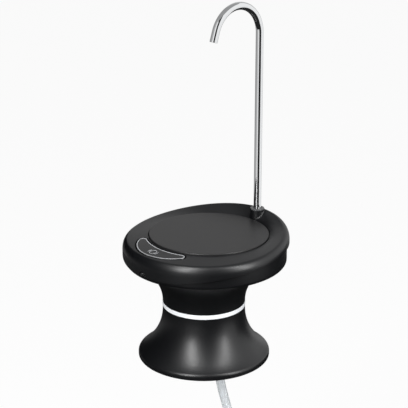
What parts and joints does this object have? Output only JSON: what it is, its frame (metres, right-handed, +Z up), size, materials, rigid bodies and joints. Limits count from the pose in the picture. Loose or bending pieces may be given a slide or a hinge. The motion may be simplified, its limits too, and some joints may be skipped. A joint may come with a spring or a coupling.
{
  "type": "electric water jug pump",
  "caption": "Electric pump that caps a water jug's neck: bell skirt, white band, round head with a sloping rim, cup tray and crescent key, and a swivelling steel gooseneck spout.",
  "frame": {"origin": "on the waist's axis, in the plane of the skirt's rim, where the jug's neck enters", "axes": "+Z up along the waist's axis, -Y towards the control key and charging port, +Y towards the spout"},
  "size_m": [0.1732, 0.1732, 0.6694],
  "materials": {
    "black_abs": "satin moulded ABS",
    "tray_black": "fine matt moulded plate",
    "key_black": "smooth touch key",
    "silver_print": "thin metallic line",
    "white_band": "glossy white moulding",
    "spout_grey": "satin grey",
    "polished_steel": "polished stainless tube",
    "clear_silicone": "translucent silicone",
    "white_silicone": "soft silicone",
    "black_rubber": "black rubber",
    "white_acetal": "natural acetal",
    "grey_frame": "plain inner moulding",
    "steel": "plated steel",
    "magnet": "sintered magnet",
    "rotor_metal": "wound copper and steel",
    "board_green": "solder mask",
    "chip_black": "moulded package",
    "switch_brown": "moulded plunger",
    "cell_wrap": "shrink wrap",
    "wire_red": "insulated wire"
  },
  "bodies": {
    "housing": {"skirt": "black_abs", "neck_collar": "black_abs", "neck_sleeve": "white_silicone", "jug_gasket": "white_silicone", "trim_ring": "white_band", "lower_shell": "black_abs", "top_shell": "black_abs", "key_carrier": "grey_frame", "spout_socket": "spout_grey", "spout_orings": "black_rubber", "chassis_plate": "grey_frame", "housing_screws": "steel", "base_screws": "steel", "battery_cradles": "grey_frame", "battery_cells": "cell_wrap", "control_board": "board_green", "board_chips": "chip_black", "board_screws": "steel", "charge_socket": "steel", "tact_switch": "chip_black", "motor_boot": "black_rubber", "motor_endcap": "white_acetal", "motor_can": "steel", "motor_magnets": "magnet", "pump_base": "white_acetal", "wobble_plate": "white_acetal", "diaphragm": "black_rubber", "valve_plate": "white_acetal", "pump_cover": "white_acetal", "pump_screws": "steel", "outlet_hose": "clear_silicone", "inlet_fitting": "white_acetal", "inlet_nut": "white_acetal", "inlet_riser": "white_acetal", "inlet_sleeve": "clear_silicone", "battery_leads": "wire_red", "motor_leads": "wire_red", "suction_hose": "clear_silicone"},
    "spout": {"spout_tube": "polished_steel"},
    "key": {"control_key": "key_black", "key_outline": "silver_print", "key_icon": "silver_print", "switch_plunger": "switch_brown"},
    "tray": {"tray_plate": "tray_black"},
    "rotor": {"motor_rotor": "rotor_metal", "eccentric": "white_acetal", "drive_pin": "steel"}
  },
  "joints": [
    {"name": "spout_swivel", "type": "hinge", "parent": "housing", "child": "spout", "pos_m": [0, 0.0777, 0.14528], "axis": [0, 0, 1], "continuous": true},
    {"name": "key_press", "type": "slide", "parent": "housing", "child": "key", "axis": [0, 0, -1], "range_m": [0, 0.0008], "stiffness_N_per_m": 1500, "springref_m": -0.0004},
    {"name": "tray_lift", "type": "slide", "parent": "housing", "child": "tray", "axis": [0, 0, 1], "range_m": [0, 0.06]},
    {"name": "rotor_spin", "type": "hinge", "parent": "housing", "child": "rotor", "pos_m": [0, -0.018, 0.0688], "axis": [0, 0, 1], "continuous": true}
  ]
}
